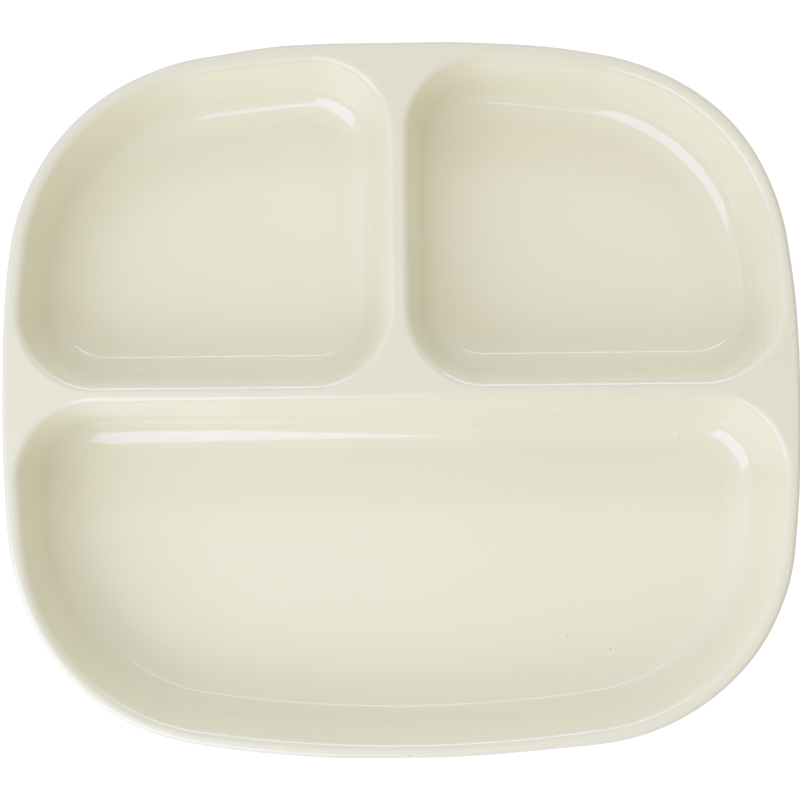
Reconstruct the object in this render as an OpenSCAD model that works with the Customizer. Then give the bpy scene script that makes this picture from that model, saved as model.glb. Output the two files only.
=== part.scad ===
// Divided compartment plate: glazed stoneware, two small wells at the back and one long well at the front.
// The clay body stands on three bare foot rings, and a thin coat of glaze covers everything else.
// Millimetres, Z up. The front is -Y, and the origin is on the table under the middle of the plate.

/* [Plate] */
// Length of the plate, left to right
plate_l = 254; // [210:1:310]
// Width of the plate, front to back
plate_w = 228; // [190:1:280]
// Height of the plate, from the table to the top of the rim
plate_h = 29; // [24:0.5:36]
// Radius of the gentle curve of the left and right sides
side_r = 430; // [300:5:900]
// Radius of the gentle curve of the front and back sides
end_r = 441; // [300:5:900]
// Radius of the four outer corners of the plate
corner_r = 70; // [55:1:85]

/* [Rim and dividers] */
// Width of the rim, from the outer edge to the line in which the wall would meet the top
rim_w = 4.3; // [3.8:0.1:8]
// Rounding of the outer edge of the rim, on top
rim_top_r = 1.8; // [1:0.1:2.4]
// Height of the thick lip round the rim
lip_h = 6; // [4.5:0.1:9]
// Rounding of the lower edge of the lip
lip_under_r = 1.2; // [0.8:0.1:2]
// Width of the short divider, between the lines in which its walls would meet the top
short_divider_w = 6; // [4:0.1:12]
// Width of the long divider, between the lines in which its walls would meet the top
long_divider_w = 4.8; // [4:0.1:12]
// How far the long divider lies behind the middle of the plate
divider_back = 1.3; // [-10:0.1:20]
// Rounding of the edge where a wall turns into the top
shoulder_r = 3; // [2:0.1:4]

/* [Wells] */
// Slope of the walls, away from upright, in degrees
wall_slope = 18; // [12:0.5:24]
// Rounding between the walls and the floor of a well
floor_r = 12; // [8:0.5:14]
// Corner radius of the wells beside the dividers
well_corner_r = 24.5; // [22:0.5:30]

/* [Body, feet and glaze] */
// Thickness of the walls and floors, with the glaze
wall_t = 3.8; // [3:0.1:4.4]
// Height of the foot rings
foot_h = 1.7; // [1.2:0.1:3]
// Width of the standing face of a foot ring, with the glaze beside it
foot_w = 4.5; // [3.5:0.1:5]
// Slope of the sides of the foot rings, away from upright, in degrees
foot_slope = 20; // [5:1:30]
// Thickness of the glaze
glaze_t = 0.4; // [0.3:0.05:0.6]
// Height of the bare clay at the bottom of the foot rings
bare_h = 0.5; // [0.3:0.1:0.8]

/* [Facets] */
// Largest distance between a facet and its true curve
facet_sag = 0.2; // [0.15:0.05:0.4]

/* [Hidden] */
// Cuts run past the surface by this much
cut = 1;
// Flat that the roundings leave at least, on each side of the middle of a divider and on top of the rim
least_flat = 0.15;
// Facets across the rounding of the shoulder, the floor, the rim, and the underside
shoulder_n = 4;
floor_n = 5;
rim_n = 3;
under_n = 2;
shell_n = 3;

half_l = plate_l / 2;
half_w = plate_w / 2;
well_d = plate_h - wall_t - foot_h;
// Reach of a rounding along the flat faces that it joins
reach = tan(45 - wall_slope / 2);
// The rounding is limited by the dividers and the rim that carry it
divider_limit = min(short_divider_w, long_divider_w) / 2 - least_flat;
rim_limit = rim_w - rim_top_r - least_flat;
edge_r = min(shoulder_r, min(divider_limit, rim_limit) / reach);
shoulder_in = -edge_r * reach;
floor_in = well_d * tan(wall_slope) + floor_r * reach;

// Centres of the curves of the outline
side_c = [half_l - side_r, 0];
back_c = [0, half_w - end_r];
corner_c = far_meet(side_c, side_r - corner_r, back_c, end_r - corner_r);

// Lines in which the walls of the dividers would meet the top
back_y = divider_back + long_divider_w / 2;
front_y = divider_back - long_divider_w / 2;
inner_x = short_divider_w / 2;

// The outer meeting point of two circles
function far_meet(c1, r1, c2, r2) =
    let (
        d = c2 - c1,
        gap = norm(d),
        along = (r1 * r1 - r2 * r2 + gap * gap) / (2 * gap),
        off = sqrt(max(0, r1 * r1 - along * along)),
        foot = c1 + d * along / gap
    )
    foot + off * [-d.y, d.x] / gap;

// Direction of a vector, in degrees
function heading(v) = atan2(v.y, v.x);

// Centre of a corner that touches the right side of the plate and the level line y, above it (up = 1) or below it
function side_corner(y, up) =
    let (cy = y + up * well_corner_r, r = side_r - rim_w - well_corner_r)
    [side_c.x + sqrt(r * r - cy * cy), cy];

// Centre of the corner that touches the back of the plate and the short divider
function back_corner() =
    let (cx = inner_x + well_corner_r, r = end_r - rim_w - well_corner_r)
    [cx, back_c.y + sqrt(r * r - cx * cx)];

// An outline is a list of arcs, each of them [centre, radius, first angle, last angle]
function mirror_x(arcs) =
    [for (i = [len(arcs) - 1:-1:0]) let (a = arcs[i]) [[-a[0].x, a[0].y], a[1], 180 - a[3], 180 - a[2]]];
function mirror_y(arcs) =
    [for (i = [len(arcs) - 1:-1:0]) let (a = arcs[i]) [[a[0].x, -a[0].y], a[1], 360 - a[3], 360 - a[2]]];

// Right half of the back of an outline that lies inside the outer edge
function back_half(inside) = [
    [side_c, side_r - inside, 0, heading(corner_c - side_c)],
    [corner_c, corner_r - inside, heading(corner_c - side_c), heading(corner_c - back_c)],
    [back_c, end_r - inside, heading(corner_c - back_c), 90]
];

function plate_outline() =
    let (back = concat(back_half(0), mirror_x(back_half(0))))
    concat(back, mirror_y(back));

function back_well() =
    let (
        low = side_corner(back_y, 1),
        top = back_corner(),
        corner = corner_c - side_c,
        bend = corner_c - back_c
    )
    [
        [low, well_corner_r, -90, heading(low - side_c)],
        [side_c, side_r - rim_w, heading(low - side_c), heading(corner)],
        [corner_c, corner_r - rim_w, heading(corner), heading(bend)],
        [back_c, end_r - rim_w, heading(bend), heading(top - back_c)],
        [top, well_corner_r, heading(top - back_c), 180],
        [[inner_x, back_y] + well_corner_r * [1, 1], well_corner_r, 180, 270]
    ];

function front_right() =
    let (
        high = side_corner(front_y, -1),
        corner = corner_c - side_c,
        bend = corner_c - back_c
    )
    [
        [[back_c.x, -back_c.y], end_r - rim_w, -90, -heading(bend)],
        [[corner_c.x, -corner_c.y], corner_r - rim_w, -heading(bend), -heading(corner)],
        [side_c, side_r - rim_w, -heading(corner), heading(high - side_c)],
        [high, well_corner_r, heading(high - side_c), 90]
    ];

function front_well() = concat(front_right(), mirror_x(front_right()));

// Points of an outline, moved inwards
function arc_steps(a) = max(1, ceil(abs(a[3] - a[2]) / (2 * acos(1 - facet_sag / a[1]))));
function ring(arcs, inwards) = [
    for (a = arcs)
        let (n = arc_steps(a), r = max(a[1] - inwards, facet_sag))
        for (i = [0:n])
            let (t = a[2] + (a[3] - a[2]) * i / n)
            a[0] + r * [cos(t), sin(t)]
];

// A profile is a list of [distance inwards, height], from the top down
function bend(c, r, first, last, n) =
    [for (i = [0:n]) let (t = first + (last - first) * i / n) c + r * [cos(t), sin(t)]];

// Surface of a well, moved by s into the wall
function well_profile(s) = concat(
    [[shoulder_in, plate_h + cut]],
    bend([shoulder_in, plate_h - edge_r], edge_r - s, 90, wall_slope, shoulder_n),
    bend([floor_in, plate_h - well_d + floor_r], floor_r + s, 180 + wall_slope, 270, floor_n)
);

// Outside of a wall, at s from the surface of the well
function shell_profile(s) = concat(
    [[lip_h / 2 * tan(wall_slope) - s / cos(wall_slope), plate_h - lip_h / 2]],
    bend([floor_in, plate_h - well_d + floor_r], floor_r + s, 180 + wall_slope, 270, shell_n)
);

// Edge of the rim, moved by s into the clay
function lip_profile(s) = concat(
    bend([rim_top_r, plate_h - rim_top_r], rim_top_r - s, 90, 180, rim_n),
    bend([lip_under_r, plate_h - lip_h + lip_under_r], lip_under_r - s, 180, 270, under_n)
);

// Outside of a foot ring, moved by s into the clay, from the height low up
function foot_inwards(s, z) = floor_in + s / cos(foot_slope) - z * tan(foot_slope);
function foot_profile(s, low) =
    [for (z = [foot_h + wall_t / 2, low]) [foot_inwards(s, min(z, foot_h + s)), z]];

// Hollow inside a foot ring, moved by s into the clay, from the height low up
function hollow_profile(s, low) =
    [for (z = [foot_h + s, low]) [floor_in + foot_w - s / cos(foot_slope) + z * tan(foot_slope), z]];

// A solid between the levels of a profile
module loft(arcs, profile) {
    for (i = [0:len(profile) - 2]) {
        upper = ring(arcs, profile[i][0]);
        lower = ring(arcs, profile[i + 1][0]);
        n = len(upper);
        hull() {
            polyhedron(
                points = concat(
                    [for (p = upper) [p.x, p.y, profile[i][1]]],
                    [for (p = lower) [p.x, p.y, profile[i + 1][1]]]
                ),
                faces = [[for (k = [n - 1:-1:0]) k], [for (k = [0:n - 1]) n + k]]
            );
        }
    }
}

WELLS = [mirror_x(back_well()), back_well(), front_well()];

module wells(s) {
    for (w = WELLS) {
        loft(w, well_profile(s));
    }
}

module outside(s, low) {
    loft(plate_outline(), lip_profile(s));
    for (w = WELLS) {
        loft(w, shell_profile(wall_t - s));
        loft(w, foot_profile(s, low));
    }
}

module plate_body() {
    color("BurlyWood")
    difference() {
        outside(glaze_t, 0);
        wells(glaze_t);
        for (w = WELLS) {
            loft(w, hollow_profile(glaze_t, -cut));
        }
    }
}

module glaze_coat() {
    color("Beige")
    difference() {
        outside(0, bare_h);
        difference() {
            outside(glaze_t, 0);
            wells(glaze_t);
        }
        wells(0);
    }
}

module base_glaze(w) {
    difference() {
        loft(w, hollow_profile(glaze_t, bare_h));
        loft(w, hollow_profile(0, -cut));
    }
}

module left_base_glaze() {
    color("Ivory")
    base_glaze(WELLS[0]);
}

module right_base_glaze() {
    color("Ivory")
    base_glaze(WELLS[1]);
}

module front_base_glaze() {
    color("Ivory")
    base_glaze(WELLS[2]);
}

plate_body();
glaze_coat();
left_base_glaze();
right_base_glaze();
front_base_glaze();
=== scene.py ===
from math import acos, atan2, ceil, cos, degrees, hypot, pi, radians, sin, sqrt, tan

import bpy
import numpy as np
from mathutils import Matrix, Vector
from mathutils.geometry import tessellate_polygon


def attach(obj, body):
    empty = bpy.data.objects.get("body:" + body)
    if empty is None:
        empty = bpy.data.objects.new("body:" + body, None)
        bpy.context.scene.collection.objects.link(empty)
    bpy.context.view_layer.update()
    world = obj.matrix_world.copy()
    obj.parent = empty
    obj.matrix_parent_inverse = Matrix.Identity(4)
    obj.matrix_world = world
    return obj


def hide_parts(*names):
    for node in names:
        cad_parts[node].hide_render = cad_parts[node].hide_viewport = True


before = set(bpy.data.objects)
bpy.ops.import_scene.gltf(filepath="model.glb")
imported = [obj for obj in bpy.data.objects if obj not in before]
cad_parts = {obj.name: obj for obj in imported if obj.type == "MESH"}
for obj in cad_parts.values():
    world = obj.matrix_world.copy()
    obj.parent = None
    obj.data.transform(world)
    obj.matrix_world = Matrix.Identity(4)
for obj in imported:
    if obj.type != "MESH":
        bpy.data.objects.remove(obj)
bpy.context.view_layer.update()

# Sizes of the plate, in millimetres, as in the CAD
PLATE_L = 254.0
PLATE_W = 228.0
PLATE_H = 29.0
SIDE_R = 430.0
END_R = 441.0
CORNER_R = 70.0
RIM_W = 4.3
RIM_TOP_R = 1.8
LIP_H = 6.0
LIP_UNDER_R = 1.2
SHORT_DIVIDER_W = 6.0
LONG_DIVIDER_W = 4.8
DIVIDER_BACK = 1.3
SHOULDER_R = 3.0
WALL_SLOPE = radians(18.0)
FLOOR_R = 12.0
WELL_CORNER_R = 24.5
WALL_T = 3.8
FOOT_H = 1.7
FOOT_W = 4.5
FOOT_SLOPE = radians(20.0)
GLAZE_T = 0.4
BARE_H = 0.5

# Metres in a millimetre
MM = 0.001

HALF_L = PLATE_L / 2
HALF_W = PLATE_W / 2
WELL_D = PLATE_H - WALL_T - FOOT_H
FLOOR_Z = PLATE_H - WELL_D
LIP_Z = PLATE_H - LIP_H
# Reach of a rounding along the faces that it joins, as a share of its radius
REACH = tan(pi / 4 - WALL_SLOPE / 2)
SHOULDER_IN = -SHOULDER_R * REACH
FLOOR_IN = WELL_D * tan(WALL_SLOPE) + FLOOR_R * REACH

# Points of an outline: how far apart they are, how far it turns between two, and how close two are to count
# as one
STEP = 1.0
LARGEST_TURN = radians(2.5)
SAME_POINT = 0.02
# Rings whose places agree to this many decimals count as one
RING_DECIMALS = 5

# Steps across the top edge of the rim, down the lip, across its lower edge, down the wall of a well, down the
# outside of that wall, and across the rounding below it
RIM_STEPS = 10
LIP_STEPS = 3
UNDER_STEPS = 8
WALL_STEPS = 6
SHELL_WALL_STEPS = 4
SHELL_STEPS = 16
# Rounds that find where a foot ring meets the rounding
MEET_ROUNDS = 60


# Outlines: lists of arcs, each of them centre, radius, first angle and last angle
def vec(x, y):
    return np.array([x, y], float)


def far_meet(c1, r1, c2, r2):
    """The outer meeting point of two circles."""
    d = c2 - c1
    gap = hypot(*d)
    along = (r1 * r1 - r2 * r2 + gap * gap) / (2 * gap)
    off = sqrt(max(0.0, r1 * r1 - along * along))
    return c1 + d * along / gap + off * vec(-d[1], d[0]) / gap


def heading(v):
    """Angle of a vector from +X."""
    return atan2(v[1], v[0])


# Centres of the curves of the plate's outline, and the headings at which one curve turns into the next
SIDE_C = vec(HALF_L - SIDE_R, 0)
BACK_C = vec(0, HALF_W - END_R)
CORNER_C = far_meet(SIDE_C, SIDE_R - CORNER_R, BACK_C, END_R - CORNER_R)
CORNER_START = heading(CORNER_C - SIDE_C)
CORNER_END = heading(CORNER_C - BACK_C)

# Lines in which the walls of the dividers would meet the top
BACK_Y = DIVIDER_BACK + LONG_DIVIDER_W / 2
FRONT_Y = DIVIDER_BACK - LONG_DIVIDER_W / 2
INNER_X = SHORT_DIVIDER_W / 2


def mirror_x(arcs):
    return [(vec(-c[0], c[1]), r, pi - b, pi - a) for c, r, a, b in reversed(arcs)]


def mirror_y(arcs):
    return [(vec(c[0], -c[1]), r, 2 * pi - b, 2 * pi - a) for c, r, a, b in reversed(arcs)]


def plate_outline():
    right = [
        (SIDE_C, SIDE_R, 0, CORNER_START),
        (CORNER_C, CORNER_R, CORNER_START, CORNER_END),
        (BACK_C, END_R, CORNER_END, pi / 2),
    ]
    back = right + mirror_x(right)
    return back + mirror_y(back)


def side_corner(y, up):
    """Centre of a well's corner at the right side and the level line y, above it (up = 1) or below it."""
    cy = y + up * WELL_CORNER_R
    r = SIDE_R - RIM_W - WELL_CORNER_R
    return vec(SIDE_C[0] + sqrt(r * r - cy * cy), cy)


def back_well():
    low = side_corner(BACK_Y, 1)
    cx = INNER_X + WELL_CORNER_R
    r = END_R - RIM_W - WELL_CORNER_R
    top = vec(cx, BACK_C[1] + sqrt(r * r - cx * cx))
    return [
        (low, WELL_CORNER_R, -pi / 2, heading(low - SIDE_C)),
        (SIDE_C, SIDE_R - RIM_W, heading(low - SIDE_C), CORNER_START),
        (CORNER_C, CORNER_R - RIM_W, CORNER_START, CORNER_END),
        (BACK_C, END_R - RIM_W, CORNER_END, heading(top - BACK_C)),
        (top, WELL_CORNER_R, heading(top - BACK_C), pi),
        (vec(cx, BACK_Y + WELL_CORNER_R), WELL_CORNER_R, pi, 3 * pi / 2),
    ]


def front_well():
    high = side_corner(FRONT_Y, -1)
    right = [
        (vec(0, -BACK_C[1]), END_R - RIM_W, -pi / 2, -CORNER_END),
        (vec(CORNER_C[0], -CORNER_C[1]), CORNER_R - RIM_W, -CORNER_END, -CORNER_START),
        (SIDE_C, SIDE_R - RIM_W, -CORNER_START, heading(high - SIDE_C)),
        (high, WELL_CORNER_R, heading(high - SIDE_C), pi / 2),
    ]
    return right + mirror_x(right)


class Outline:
    """Points of a closed run of arcs and the lines between them, with the direction outwards at each."""

    def __init__(self, arcs):
        points, outwards = [], []

        def add(p, n):
            if points and hypot(*(p - points[-1])) < SAME_POINT:
                return
            points.append(p)
            outwards.append(n)

        for i, (c, r, a, b) in enumerate(arcs):
            n = max(1, ceil(abs(b - a) * r / STEP), ceil(abs(b - a) / LARGEST_TURN))
            for k in range(n + 1):
                t = a + (b - a) * k / n
                d = vec(cos(t), sin(t))
                add(c + r * d, d)
            c2, r2, a2, _ = arcs[(i + 1) % len(arcs)]
            start, end = points[-1], c2 + r2 * vec(cos(a2), sin(a2))
            m = int(hypot(*(end - start)) / STEP)
            for k in range(1, m):
                add(start + (end - start) * k / m, outwards[-1])
        if hypot(*(points[0] - points[-1])) < SAME_POINT:
            points.pop()
            outwards.pop()
        self.p = np.array(points)
        self.n = np.array(outwards)

    def push(self, offsets):
        """Moves each point outwards by its offset and turns the directions outwards to suit."""
        gap = np.linalg.norm(np.roll(self.p, -1, 0) - np.roll(self.p, 1, 0), axis=1)
        slope = (np.roll(offsets, -1) - np.roll(offsets, 1)) / gap
        along = np.stack([-self.n[:, 1], self.n[:, 0]], 1)
        self.p = self.p + offsets[:, None] * self.n
        self.n = (self.n - slope[:, None] * along) / np.sqrt(1 + slope * slope)[:, None]


# How far the edge of the fired plate has moved outwards, in millimetres, at angles in degrees round the plate
# from +X
FIRED = [
    (0, 0.0), (12, 0.25), (26, -0.25), (39, 0.30), (53, -0.15), (67, 0.65), (79, 0.35), (90, 0.0),
    (99, 0.45), (109, 0.95), (119, 0.40), (128, -0.15), (146, 0.0), (163, 0.65), (174, 0.30), (181, 0.0),
    (191, 0.05), (198, 0.20), (207, -0.28), (216, -0.15), (224, 0.25), (235, 0.0), (246, 0.35),
    (258, 0.40), (270, 0.30), (280, 0.10), (291, 0.05), (301, 0.60), (313, 0.50), (323, 0.65),
    (332, 0.40), (340, 0.05), (360, 0.0),
]
# Least share of a direction to divide by
LEAST_SHARE = 1e-6


def eased(share):
    """A share from 0 to 1, with a smooth start and end."""
    t = np.clip(share, 0, 1)
    return t * t * (3 - 2 * t)


def fired_edge(outline):
    """Offsets of the fired edge, eased between the listed angles, and kept within the size of the plate."""
    at = np.degrees(np.arctan2(outline.p[:, 1], outline.p[:, 0])) % 360
    angles, moves = np.array(FIRED).T
    k = np.clip(np.searchsorted(angles, at, "right") - 1, 0, len(angles) - 2)
    share = (at - angles[k]) / (angles[k + 1] - angles[k])
    offsets = moves[k] + (moves[k + 1] - moves[k]) * eased(share)
    room = np.array([HALF_L, HALF_W]) - np.abs(outline.p)
    spare = room / np.maximum(np.abs(outline.n), LEAST_SHARE)
    return np.minimum(offsets, spare.min(1))


PLATE = Outline(plate_outline())
PLATE.push(fired_edge(PLATE))
WELLS = {
    "left": Outline(mirror_x(back_well())),
    "right": Outline(back_well()),
    "front": Outline(front_well()),
}


# Profiles: rows of inset, height, and the surface's normal as its share inwards and its share upwards
def bend(cu, cz, r, first, last, n):
    """An arc of a profile."""
    rows = []
    for i in range(n + 1):
        t = first + (last - first) * i / n
        rows.append((cu + r * cos(t), cz + r * sin(t), cos(t), sin(t)))
    return rows


def between(a, b, n):
    """The rows that part the way from one row to another into n steps."""
    return [tuple(x + (y - x) * k / n for x, y in zip(a, b)) for k in range(1, n)]


# The roundings at the top and bottom of a well's front wall are no true arcs. Each bump changes the radius:
# by how much, round which tilt in degrees, and how far that spreads
SHOULDER_BUMPS = {
    "left": [(10, 25.5, 2.5)],
    "right": [(10, 25.5, 2.5)],
    "front": [(9, 32, 3)],
}
FLOOR_BUMPS = {
    "left": [(-5, 25.5, 2.5)],
    "right": [(-5, 25.5, 2.5)],
    "front": [(6, 12, 8), (-8, 38, 7)],
}

# Tilts of a rounding, from level to the slope of the wall
TILTS_PER_DEGREE = 4
TILTS = np.linspace(0, pi / 2 - WALL_SLOPE, round(degrees(pi / 2 - WALL_SLOPE)) * TILTS_PER_DEGREE + 1)
TILT_STEP = TILTS[1]
# The tilts that get a row of points: one every so many degrees, and each degree where the narrow bumps are
ROW_EVERY = 3
FINE_ROWS = range(20, 38)
ROWS = sorted(
    {*range(0, len(TILTS), ROW_EVERY * TILTS_PER_DEGREE), *(d * TILTS_PER_DEGREE for d in FINE_ROWS)}
)

# How much of the direction outwards points to the front where a front wall begins, and where it is in full
FRONT_FROM = 0.3
FRONT_FULL = 0.8


def area(values):
    """Area under the values at TILTS."""
    return TILT_STEP * (values.sum() - (values[0] + values[-1]) / 2)


def rounding(arc, bumps):
    """Distances along and down a rounding at each of TILTS. It starts and ends where the arc does."""
    extra = sum(h * np.exp(-(((TILTS - radians(at)) / radians(spread)) ** 2) / 2) for h, at, spread in bumps)
    waves = [np.cos(TILTS), np.sin(TILTS)]
    ends = [arc * sin(TILTS[-1]), arc * (1 - cos(TILTS[-1]))]
    parts = [[area(f), area(TILTS * f)] for f in waves]
    rest = [end - area(extra * f) for end, f in zip(ends, waves)]
    # The radius is a straight line plus the bumps, and this is the line that puts the end in its place
    a, b = np.linalg.solve(parts, rest)
    r = a + b * TILTS + extra
    return [np.concatenate([[0], np.cumsum((r * f)[1:] + (r * f)[:-1]) * TILT_STEP / 2]) for f in waves]


def front_share(outline):
    """At each point, 1 on the front wall and 0 on the other walls, with a smooth change in the corners."""
    return eased((-outline.n[:, 1] - FRONT_FROM) / (FRONT_FULL - FRONT_FROM))


def rounding_rows(arc, bumps, outline):
    """Tilt, distance along and distance down of each row, the distances for all points of the outline."""
    share = front_share(outline)
    true_u, true_drop = arc * np.sin(TILTS), arc * (1 - np.cos(TILTS))
    u, drop = rounding(arc, bumps)
    return [
        (TILTS[i], true_u[i] + share * (u[i] - true_u[i]), true_drop[i] + share * (drop[i] - true_drop[i]))
        for i in ROWS
    ]


def well_profile(s, side):
    """Surface of a well, moved by s into the wall."""
    outline = WELLS[side]
    shoulder = [
        (SHOULDER_IN + u - s * sin(t), PLATE_H - drop - s * cos(t), sin(t), cos(t))
        for t, u, drop in rounding_rows(SHOULDER_R, SHOULDER_BUMPS[side], outline)
    ]
    floor = [
        (FLOOR_IN - u - s * sin(t), FLOOR_Z + drop - s * cos(t), sin(t), cos(t))
        for t, u, drop in reversed(rounding_rows(FLOOR_R, FLOOR_BUMPS[side], outline))
    ]
    return shoulder + between(shoulder[-1], floor[0], WALL_STEPS) + floor


def lip_profile(s):
    """Edge of the rim, moved by s into the clay."""
    top = bend(RIM_TOP_R, PLATE_H - RIM_TOP_R, RIM_TOP_R - s, pi / 2, pi, RIM_STEPS)
    under = bend(LIP_UNDER_R, LIP_Z + LIP_UNDER_R, LIP_UNDER_R - s, pi, 3 * pi / 2, UNDER_STEPS)
    return top + between(top[-1], under[0], LIP_STEPS) + under


def shell_profile(s):
    """Outside of a wall, moved by s into the clay, from the lip down to where the foot ring starts."""
    e = WALL_T - s
    top_z = LIP_Z + s
    top_in = (PLATE_H - top_z) * tan(WALL_SLOPE) - e / cos(WALL_SLOPE)
    wall = (top_in, top_z, -cos(WALL_SLOPE), -sin(WALL_SLOPE))
    zc, r = FLOOR_Z + FLOOR_R, FLOOR_R + e
    foot = FLOOR_IN + s / cos(FOOT_SLOPE)
    # The side of the foot ring meets the rounding at the angle t
    t = 3 * pi / 2
    for _ in range(MEET_ROUNDS):
        z = zc + r * sin(t)
        u = foot - z * tan(FOOT_SLOPE)
        t = 2 * pi - acos(max(-1.0, min(1.0, (u - FLOOR_IN) / r)))
    floor = bend(FLOOR_IN, zc, r, pi + WALL_SLOPE, t, SHELL_STEPS)
    return [wall] + between(wall, floor[0], SHELL_WALL_STEPS) + floor


def foot_profile(s, low):
    """Outside of a foot ring, moved by s into the clay, down to the height low."""
    end = shell_profile(s)[-1]
    side = (-cos(FOOT_SLOPE), -sin(FOOT_SLOPE))
    return [
        (end[0], end[1], *side),
        (FLOOR_IN + s / cos(FOOT_SLOPE) - low * tan(FOOT_SLOPE), low, *side),
    ]


def hollow_profile(s, low):
    """Hollow inside a foot ring, moved by s into the clay, from the height low up."""
    side = (cos(FOOT_SLOPE), -sin(FOOT_SLOPE))
    return [
        (FLOOR_IN + FOOT_W - s / cos(FOOT_SLOPE) + z * tan(FOOT_SLOPE), z, *side)
        for z in (low, FOOT_H + s)
    ]


# The outer edge of the rim gets a greyer, less yellow colour: partly thin glaze, partly painted shade and
# reflection.
# That colour is in full where the upward share of the surface's normal has lost EDGE_TIP, and further down it
# fades over EDGE_FADE to nothing at the height EDGE_LOW
EDGE_TIP = 0.3
EDGE_LOW = PLATE_H - 2.2
EDGE_FADE = 1.2


def edge_share(outline, z, up):
    """How far a place belongs to the outer edge of the rim, which is coloured partly as thin glaze and partly
    as painted shade and reflection.
    """
    if outline is not PLATE:
        return 0.0
    return max(0.0, min(1.0, (1 - up) / EDGE_TIP, (z - EDGE_LOW) / EDGE_FADE))


class Skin:
    """A surface of rings of points, with a normal for each corner of each face."""

    def __init__(self):
        self.verts = []
        self.edge = []
        self.faces = []
        self.normals = []
        self.rings = {}

    def ring(self, outline, inset, z, edge=0.0):
        """The points at an inset and a height, each of them one number or a number for every point."""
        n = len(outline.p)
        inset, z = np.broadcast_to(inset, n), np.broadcast_to(z, n)
        key = (id(outline), inset.round(RING_DECIMALS).tobytes(), z.round(RING_DECIMALS).tobytes())
        if key not in self.rings:
            p = outline.p - inset[:, None] * outline.n
            start = len(self.verts)
            self.verts += [(x * MM, y * MM, h * MM) for (x, y), h in zip(p, z)]
            self.edge += [edge] * n
            self.rings[key] = list(range(start, start + n))
        return self.rings[key]

    def add(self, face, normals):
        """Adds a face the right way round for its normals."""
        v = [Vector(self.verts[i]) for i in face]
        flat = Vector((0, 0, 0))
        for a, b in zip(v, v[1:] + v[:1]):
            flat += a.cross(b)
        mean = Vector((0, 0, 0))
        for n in normals:
            mean += Vector(n)
        if flat.dot(mean) < 0:
            face, normals = face[::-1], normals[::-1]
        self.faces.append(face)
        self.normals += normals

    def loft(self, outline, profile, facing=1):
        """Faces along a profile. Where facing is -1 they look the other way."""
        for (u0, z0, a0, b0), (u1, z1, a1, b1) in zip(profile, profile[1:]):
            r0 = self.ring(outline, u0, z0, edge_share(outline, z0, b0))
            r1 = self.ring(outline, u1, z1, edge_share(outline, z1, b1))
            n = len(r0)
            o = -facing * outline.n
            for k in range(n):
                j = (k + 1) % n
                quad = [r0[k], r0[j], r1[j], r1[k]]
                rows = [(k, a0, b0), (j, a0, b0), (j, a1, b1), (k, a1, b1)]
                self.add(quad, [(o[i][0] * a, o[i][1] * a, facing * b) for i, a, b in rows])

    def flat(self, loops, up):
        """A level face between rings: the first is its edge, the others are holes in it."""
        points = [[Vector(self.verts[i]) for i in loop] for loop in loops]
        index = [i for loop in loops for i in loop]
        for tri in tessellate_polygon(points):
            self.add([index[i] for i in tri], [(0, 0, up)] * 3)

    def strip(self, outline, row0, row1):
        """A level strip between the rings of two rows. It looks down."""
        r0, r1 = self.ring(outline, *row0[:2]), self.ring(outline, *row1[:2])
        n = len(r0)
        for k in range(n):
            j = (k + 1) % n
            self.add([r0[k], r0[j], r1[j], r1[k]], [(0, 0, -1)] * 4)

    def build(self, name):
        mesh = bpy.data.meshes.new(name)
        mesh.from_pydata(self.verts, [], self.faces)
        mesh.shade_smooth()
        mesh.normals_split_custom_set([Vector(n).normalized() for n in self.normals])
        mesh.attributes.new("edge", "FLOAT", "POINT").data.foreach_set("value", self.edge)
        mesh.validate(clean_customdata=False)
        obj = bpy.data.objects.new(name, mesh)
        bpy.context.scene.collection.objects.link(obj)
        return obj


def coat(skin, s, low, facing=1):
    """The surface that lies s inside the finished plate, without the faces and hollows of the foot rings."""
    lip = lip_profile(s)
    skin.loft(PLATE, lip, facing)
    tops, unders = [], []
    for side, w in WELLS.items():
        well = well_profile(s, side)
        shell = shell_profile(s)
        skin.loft(w, well, facing)
        skin.flat([skin.ring(w, *well[-1][:2])], facing)
        skin.loft(w, shell, facing)
        skin.loft(w, foot_profile(s, low), facing)
        tops.append(skin.ring(w, *well[0][:2]))
        unders.append(skin.ring(w, *shell[0][:2]))
    skin.flat([skin.ring(PLATE, *lip[0][:2])] + tops, facing)
    skin.flat([skin.ring(PLATE, *lip[-1][:2])] + unders, -facing)


def build_glaze():
    skin = Skin()
    coat(skin, 0, BARE_H)
    # The side that lies on the clay
    coat(skin, GLAZE_T, BARE_H, -1)
    for w in WELLS.values():
        skin.strip(w, foot_profile(0, BARE_H)[-1], foot_profile(GLAZE_T, BARE_H)[-1])
    return skin.build("glaze")


def build_clay():
    skin = Skin()
    coat(skin, GLAZE_T, 0)
    for w in WELLS.values():
        hollow = hollow_profile(GLAZE_T, 0)
        skin.strip(w, foot_profile(GLAZE_T, 0)[-1], hollow[0])
        skin.loft(w, hollow)
        skin.flat([skin.ring(w, *hollow[-1][:2])], -1)
    return skin.build("clay")


def build_base(side):
    w = WELLS[side]
    skin = Skin()
    finished, clay = hollow_profile(0, BARE_H), hollow_profile(GLAZE_T, BARE_H)
    skin.loft(w, finished)
    skin.flat([skin.ring(w, *finished[-1][:2])], -1)
    skin.loft(w, clay, -1)
    skin.flat([skin.ring(w, *clay[-1][:2])], 1)
    skin.strip(w, finished[0], clay[0])
    return skin.build(side + "_base")


# Materials

# Sockets of a Mix node that mixes colours
MIX_A = 6
MIX_B = 7
MIX_RESULT = 2
# Nearly all values of a noise texture lie between these
NOISE_SPAN = (0.3, 0.7)


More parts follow.
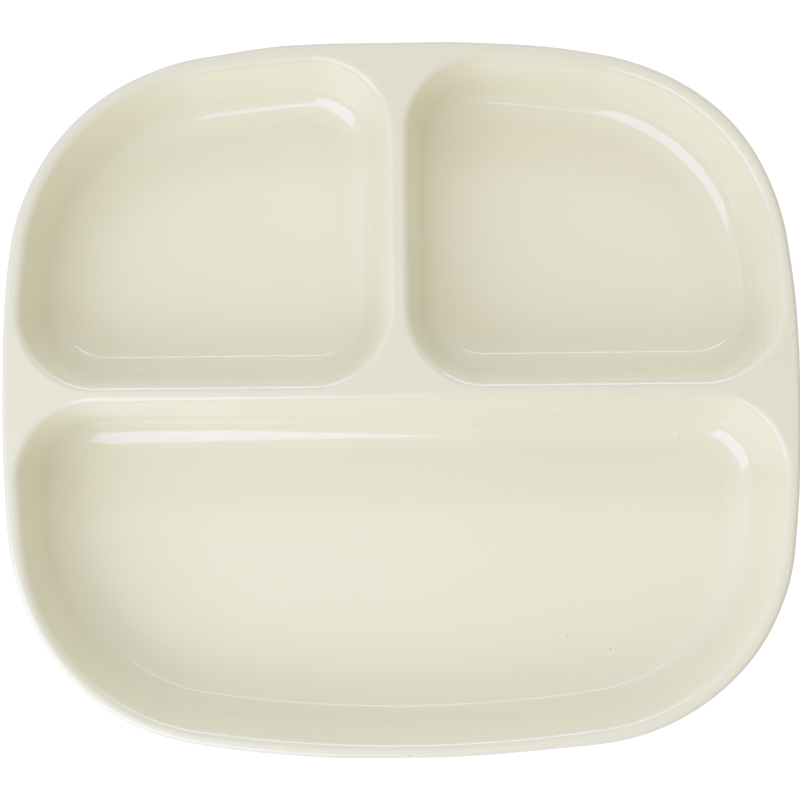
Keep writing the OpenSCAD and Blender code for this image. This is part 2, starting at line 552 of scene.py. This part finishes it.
def new_material(name):
    m = bpy.data.materials.new(name)
    m.use_nodes = True
    nodes, links = m.node_tree.nodes, m.node_tree.links
    nodes.clear()
    out = nodes.new("ShaderNodeOutputMaterial")
    bsdf = nodes.new("ShaderNodeBsdfPrincipled")
    links.new(bsdf.outputs["BSDF"], out.inputs["Surface"])
    return m, nodes, links, bsdf


def noise(nodes, links, scale, detail):
    coord = nodes.new("ShaderNodeTexCoord")
    tex = nodes.new("ShaderNodeTexNoise")
    tex.inputs["Scale"].default_value = scale
    tex.inputs["Detail"].default_value = detail
    links.new(coord.outputs["Object"], tex.inputs["Vector"])
    return tex.outputs["Fac"]


def noise_colour(nodes, links, value, dark, light):
    """A colour between two, by the value of a noise texture."""
    ramp = nodes.new("ShaderNodeValToRGB")
    for element, position, colour in zip(ramp.color_ramp.elements, NOISE_SPAN, (dark, light)):
        element.position = position
        element.color = (*colour, 1)
    links.new(value, ramp.inputs["Fac"])
    return ramp.outputs["Color"]


def add_bump(nodes, links, bsdf, height, strength, distance):
    bump = nodes.new("ShaderNodeBump")
    bump.inputs["Strength"].default_value = strength
    bump.inputs["Distance"].default_value = distance
    links.new(height, bump.inputs["Height"])
    links.new(bump.outputs["Normal"], bsdf.inputs["Normal"])


def calculate(nodes, links, operation, *values):
    """The result of an operation on values, each of them a number or a socket."""
    n = nodes.new("ShaderNodeMath")
    n.operation = operation
    for socket, value in zip(n.inputs, values):
        if isinstance(value, float):
            socket.default_value = value
        else:
            links.new(value, socket)
    return n.outputs["Value"]


def between_levels(nodes, links, value, low, high, at_low, at_high):
    """A smooth change from one number to another while a value goes from low to high."""
    r = nodes.new("ShaderNodeMapRange")
    r.interpolation_type = "SMOOTHSTEP"
    r.inputs["From Min"].default_value = low
    r.inputs["From Max"].default_value = high
    r.inputs["To Min"].default_value = at_low
    r.inputs["To Max"].default_value = at_high
    links.new(value, r.inputs["Value"])
    return r.outputs["Result"]


def mix_colours(nodes, links, share, a, b, blend="MIX"):
    """Goes from colour a, a socket or three numbers, towards colour b, three numbers, by a share."""
    mix = nodes.new("ShaderNodeMix")
    mix.data_type = "RGBA"
    mix.blend_type = blend
    links.new(share, mix.inputs["Factor"])
    if isinstance(a, tuple):
        mix.inputs[MIX_A].default_value = (*a, 1)
    else:
        links.new(a, mix.inputs[MIX_A])
    mix.inputs[MIX_B].default_value = (*b, 1)
    return mix.outputs[MIX_RESULT]


# Colour of the glaze; the share of it that is left on the high parts of the plate, which are darker and a
# little less yellow there as painted shade; and the colour of the outer edge of the rim, partly thin glaze
# and partly painted shade and reflection
GLAZE_COLOUR = (0.80, 0.775, 0.620)
TOP_SHADE_SHARE = (0.94, 0.942, 0.966)
EDGE_THIN_AND_SHADE_COLOUR = (0.735, 0.725, 0.655)
# Heights between which the painted shade on the high parts of the plate comes in
TOP_SHADE_FROM = 0.0262
TOP_SHADE_TO = 0.0282
GLAZE_ROUGHNESS = 0.02
GLAZE_IOR = 1.6
# Clouds in the colour of the glaze, and the share by which they are darker or paler than it
CLOUD_SCALE = 9.0
CLOUD_DETAIL = 3.0
CLOUD_SWING = 0.008
# Waves in the surface of the glaze
WAVE_SCALE = 28.0
WAVE_DETAIL = 2.0
WAVE_STRENGTH = 0.25
WAVE_HEIGHT = 0.0003

# Iron specks in the glaze: middle, radius, and how much of their colour shows at the middle
SPECK_COLOUR = (0.42, 0.36, 0.26)
SPECKS = [
    ((0.0540, -0.0786, 0.0055), 0.00042, 0.30),
    ((0.0681, -0.0827, 0.0055), 0.00030, 0.75),
    ((0.0920, -0.0136, 0.0061), 0.00050, 0.20),
    ((0.1249, 0.0179, 0.0290), 0.00034, 0.60),
    ((0.0022, -0.1130, 0.0287), 0.00030, 0.75),
]
# Shares of its radius at which a speck starts to fade and is gone
SPECK_CORE = 0.3
SPECK_END = 1.5

# The bare clay, and the grain of its surface
CLAY_DARK = (0.6172, 0.5520, 0.4342)
CLAY_LIGHT = (0.7605, 0.7011, 0.5776)
CLAY_ROUGHNESS = 0.85
GRAIN_SCALE = 900.0
GRAIN_DETAIL = 4.0
GRAIN_STRENGTH = 0.4
GRAIN_HEIGHT = 0.0002


def glaze_colour(nodes, links):
    """Cream, faintly cloudy, with painted shade on the high parts, a greyer outer edge of the rim that is
    partly thin glaze and partly painted shade and reflection, and a few specks of iron.
    """
    cloud = noise(nodes, links, CLOUD_SCALE, CLOUD_DETAIL)
    dim, bright = [tuple(c * swing for c in GLAZE_COLOUR) for swing in (1 - CLOUD_SWING, 1 + CLOUD_SWING)]
    clouded = noise_colour(nodes, links, cloud, dim, bright)
    place = nodes.new("ShaderNodeTexCoord").outputs["Object"]
    split = nodes.new("ShaderNodeSeparateXYZ")
    links.new(place, split.inputs["Vector"])
    high = between_levels(nodes, links, split.outputs["Z"], TOP_SHADE_FROM, TOP_SHADE_TO, 0.0, 1.0)
    # The high parts of the plate are made darker and a little less yellow: painted shade
    shaded_top = mix_colours(nodes, links, high, clouded, TOP_SHADE_SHARE, "MULTIPLY")
    edge = nodes.new("ShaderNodeAttribute")
    edge.attribute_name = "edge"
    # The outer edge of the rim is made greyer: partly thin glaze, partly painted shade and reflection
    colour = mix_colours(nodes, links, edge.outputs["Fac"], shaded_top, EDGE_THIN_AND_SHADE_COLOUR)
    for middle, radius, depth in SPECKS:
        away = nodes.new("ShaderNodeVectorMath")
        away.operation = "DISTANCE"
        links.new(place, away.inputs[0])
        away.inputs[1].default_value = middle
        core, end = radius * SPECK_CORE, radius * SPECK_END
        mask = between_levels(nodes, links, away.outputs["Value"], core, end, depth, 0.0)
        colour = mix_colours(nodes, links, mask, colour, SPECK_COLOUR)
    return colour


def glaze_material():
    m, nodes, links, bsdf = new_material("cream glaze")
    links.new(glaze_colour(nodes, links), bsdf.inputs["Base Color"])
    bsdf.inputs["Roughness"].default_value = GLAZE_ROUGHNESS
    bsdf.inputs["IOR"].default_value = GLAZE_IOR
    wave = noise(nodes, links, WAVE_SCALE, WAVE_DETAIL)
    add_bump(nodes, links, bsdf, wave, WAVE_STRENGTH, WAVE_HEIGHT)
    return m


def clay_material():
    m, nodes, links, bsdf = new_material("bare clay")
    grain = noise(nodes, links, GRAIN_SCALE, GRAIN_DETAIL)
    links.new(noise_colour(nodes, links, grain, CLAY_DARK, CLAY_LIGHT), bsdf.inputs["Base Color"])
    bsdf.inputs["Roughness"].default_value = CLAY_ROUGHNESS
    add_bump(nodes, links, bsdf, grain, GRAIN_STRENGTH, GRAIN_HEIGHT)
    return m


def place_piece(obj, node, material):
    obj.data.materials.append(material)
    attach(obj, "root")
    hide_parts(node)


GLAZE = glaze_material()
CLAY = clay_material()

place_piece(build_clay(), "plate_body", CLAY)
place_piece(build_glaze(), "glaze_coat", GLAZE)
for side in WELLS:
    place_piece(build_base(side), side + "_base_glaze", GLAZE)

# Floor, and how much it glows for the camera, and for mirrors and glass. With the light that falls on it,
# that makes it white
FLOOR_SIDE = 6.0
FLOOR_COLOUR = (0.25, 0.25, 0.25, 1)
FLOOR_ROUGHNESS = 0.9
SEEN_LIFT = 0.85
MIRRORED_LIFT = 0.75
WHITE = (1, 1, 1, 1)


def backdrop_rays(nodes, links, seen=1.0, mirrored=1.0):
    """One number for what the camera sees, another for mirrors and glass, and zero for all other light."""
    path = nodes.new("ShaderNodeLightPath")
    glossy, through_glass = path.outputs["Is Glossy Ray"], path.outputs["Is Transmission Ray"]
    either = calculate(nodes, links, "MAXIMUM", glossy, through_glass)
    indirect = calculate(nodes, links, "MULTIPLY", either, mirrored)
    direct = calculate(nodes, links, "MULTIPLY", path.outputs["Is Camera Ray"], seen)
    return calculate(nodes, links, "MAXIMUM", direct, indirect)


def floor_material():
    m, nodes, links, bsdf = new_material("white table")
    bsdf.inputs["Base Color"].default_value = FLOOR_COLOUR
    bsdf.inputs["Roughness"].default_value = FLOOR_ROUGHNESS
    bsdf.inputs["Emission Color"].default_value = WHITE
    links.new(backdrop_rays(nodes, links, SEEN_LIFT, MIRRORED_LIFT), bsdf.inputs["Emission Strength"])
    return m


def build_floor():
    h = FLOOR_SIDE / 2
    mesh = bpy.data.meshes.new("floor")
    mesh.from_pydata([(-h, -h, 0), (h, -h, 0), (h, h, 0), (-h, h, 0)], [], [(0, 1, 2, 3)])
    mesh.materials.append(floor_material())
    obj = bpy.data.objects.new("floor", mesh)
    bpy.context.scene.collection.objects.link(obj)


build_floor()

# Camera, as the photograph has it: the focal length is in its pixels
PHOTO_WIDTH = 800
FOCAL_PIXELS = 1548.4
SENSOR = 36
CAM_TILT, CAM_PAN, CAM_ROLL = 0.0621, 0.0136, -0.0105
CAM_AT = (0.0067, -0.0321, 0.519)

camera = bpy.data.objects.new("camera", bpy.data.cameras.new("camera"))
camera.data.lens = FOCAL_PIXELS * SENSOR / PHOTO_WIDTH
camera.data.sensor_width = SENSOR
camera.matrix_world = (
    Matrix.Translation(CAM_AT)
    @ Matrix.Rotation(CAM_TILT, 4, "X")
    @ Matrix.Rotation(CAM_PAN, 4, "Y")
    @ Matrix.Rotation(CAM_ROLL, 4, "Z")
)
bpy.context.scene.collection.objects.link(camera)
bpy.context.scene.camera = camera

# Soft lamps: where they are, how they turn, their sizes, and their radiance in red, green and blue
KEY_AT = (-0.3368, -0.3995, 0.3070)
KEY_TURN = (-0.914, 0.802, 0.159)
KEY_SIZE = (0.789, 0.435)
KEY_LIGHT = (1.29, 1.50, 1.93)
# The key looks whiter in the glaze than the light that it casts, so a second panel adds blue there. It lies
# just above the key, because of two panels at the same place a mirrored ray would meet only one
MIRRORED_GAP = 0.002
MIRRORED_AT = (*KEY_AT[:2], KEY_AT[2] + MIRRORED_GAP)
MIRRORED_LIGHT = (0, 0, 1.05)
STRIP_AT = (0.0, 1.25, 0.87)
STRIP_TURN = (pi, 0.96, 0)
STRIP_SIZE = (1.5, 0.11)
STRIP_LIGHT = (3.2, 3.5, 5.5)


def softbox(name, at, turn, size, radiance, mirrored_only=False):
    """A glowing panel at a place, turned about Z, tilted about its own X, and rolled about its own Z."""
    lamp = bpy.data.lights.new(name, "AREA")
    lamp.shape = "RECTANGLE"
    lamp.size, lamp.size_y = size
    level = max(radiance)
    lamp.energy = level * pi * size[0] * size[1]
    lamp.color = [c / level for c in radiance]
    obj = bpy.data.objects.new(name, lamp)
    yaw, tilt, roll = turn
    turned = Matrix.Rotation(yaw, 4, "Z") @ Matrix.Rotation(tilt, 4, "X") @ Matrix.Rotation(roll, 4, "Z")
    obj.matrix_world = Matrix.Translation(at) @ turned
    obj.visible_diffuse = not mirrored_only
    bpy.context.scene.collection.objects.link(obj)


softbox("key", KEY_AT, KEY_TURN, KEY_SIZE, KEY_LIGHT)
softbox("key in mirrors", MIRRORED_AT, KEY_TURN, KEY_SIZE, MIRRORED_LIGHT, mirrored_only=True)
softbox("rear strip", STRIP_AT, STRIP_TURN, STRIP_SIZE, STRIP_LIGHT)

# What the studio throws back: low and high side of each axis, and nothing from below the table
SIDES = {
    "X": ((0.76, 0.69, 0.71), (0.30, 0.25, 0.05)),
    "Y": ((1.11, 1.06, 1.06), (1.07, 1.16, 1.26)),
    "Z": ((0.0, 0.0, 0.0), (0.835, 0.807, 0.756)),
}


def studio_fill(nodes, links):
    """The light from a direction: that of its three nearest sides, by the squares of its coordinates."""
    coord = nodes.new("ShaderNodeTexCoord")
    split = nodes.new("ShaderNodeSeparateXYZ")
    links.new(coord.outputs["Generated"], split.inputs["Vector"])
    parts = []
    for axis, (low, high) in SIDES.items():
        value = split.outputs[axis]
        part = nodes.new("ShaderNodeVectorMath")
        part.operation = "SCALE"
        is_high = calculate(nodes, links, "GREATER_THAN", value, 0.0)
        links.new(mix_colours(nodes, links, is_high, low, high), part.inputs[0])
        links.new(calculate(nodes, links, "MULTIPLY", value, value), part.inputs["Scale"])
        parts.append(part.outputs["Vector"])
    total = parts[0]
    for part in parts[1:]:
        add = nodes.new("ShaderNodeVectorMath")
        add.operation = "ADD"
        links.new(total, add.inputs[0])
        links.new(part, add.inputs[1])
        total = add.outputs["Vector"]
    return total


def studio_world():
    """Fill light for the object, and white for what the camera sees and what mirrors and glass show."""
    world = bpy.data.worlds.new("studio")
    bpy.context.scene.world = world
    world.use_nodes = True
    nodes, links = world.node_tree.nodes, world.node_tree.links
    nodes.clear()
    fill = nodes.new("ShaderNodeBackground")
    links.new(studio_fill(nodes, links), fill.inputs["Color"])
    white = nodes.new("ShaderNodeBackground")
    white.inputs["Color"].default_value = WHITE
    mix = nodes.new("ShaderNodeMixShader")
    out = nodes.new("ShaderNodeOutputWorld")
    links.new(backdrop_rays(nodes, links), mix.inputs["Fac"])
    links.new(fill.outputs["Background"], mix.inputs[1])
    links.new(white.outputs["Background"], mix.inputs[2])
    links.new(mix.outputs["Shader"], out.inputs["Surface"])


studio_world()

bpy.context.scene.view_settings.view_transform = "Standard"
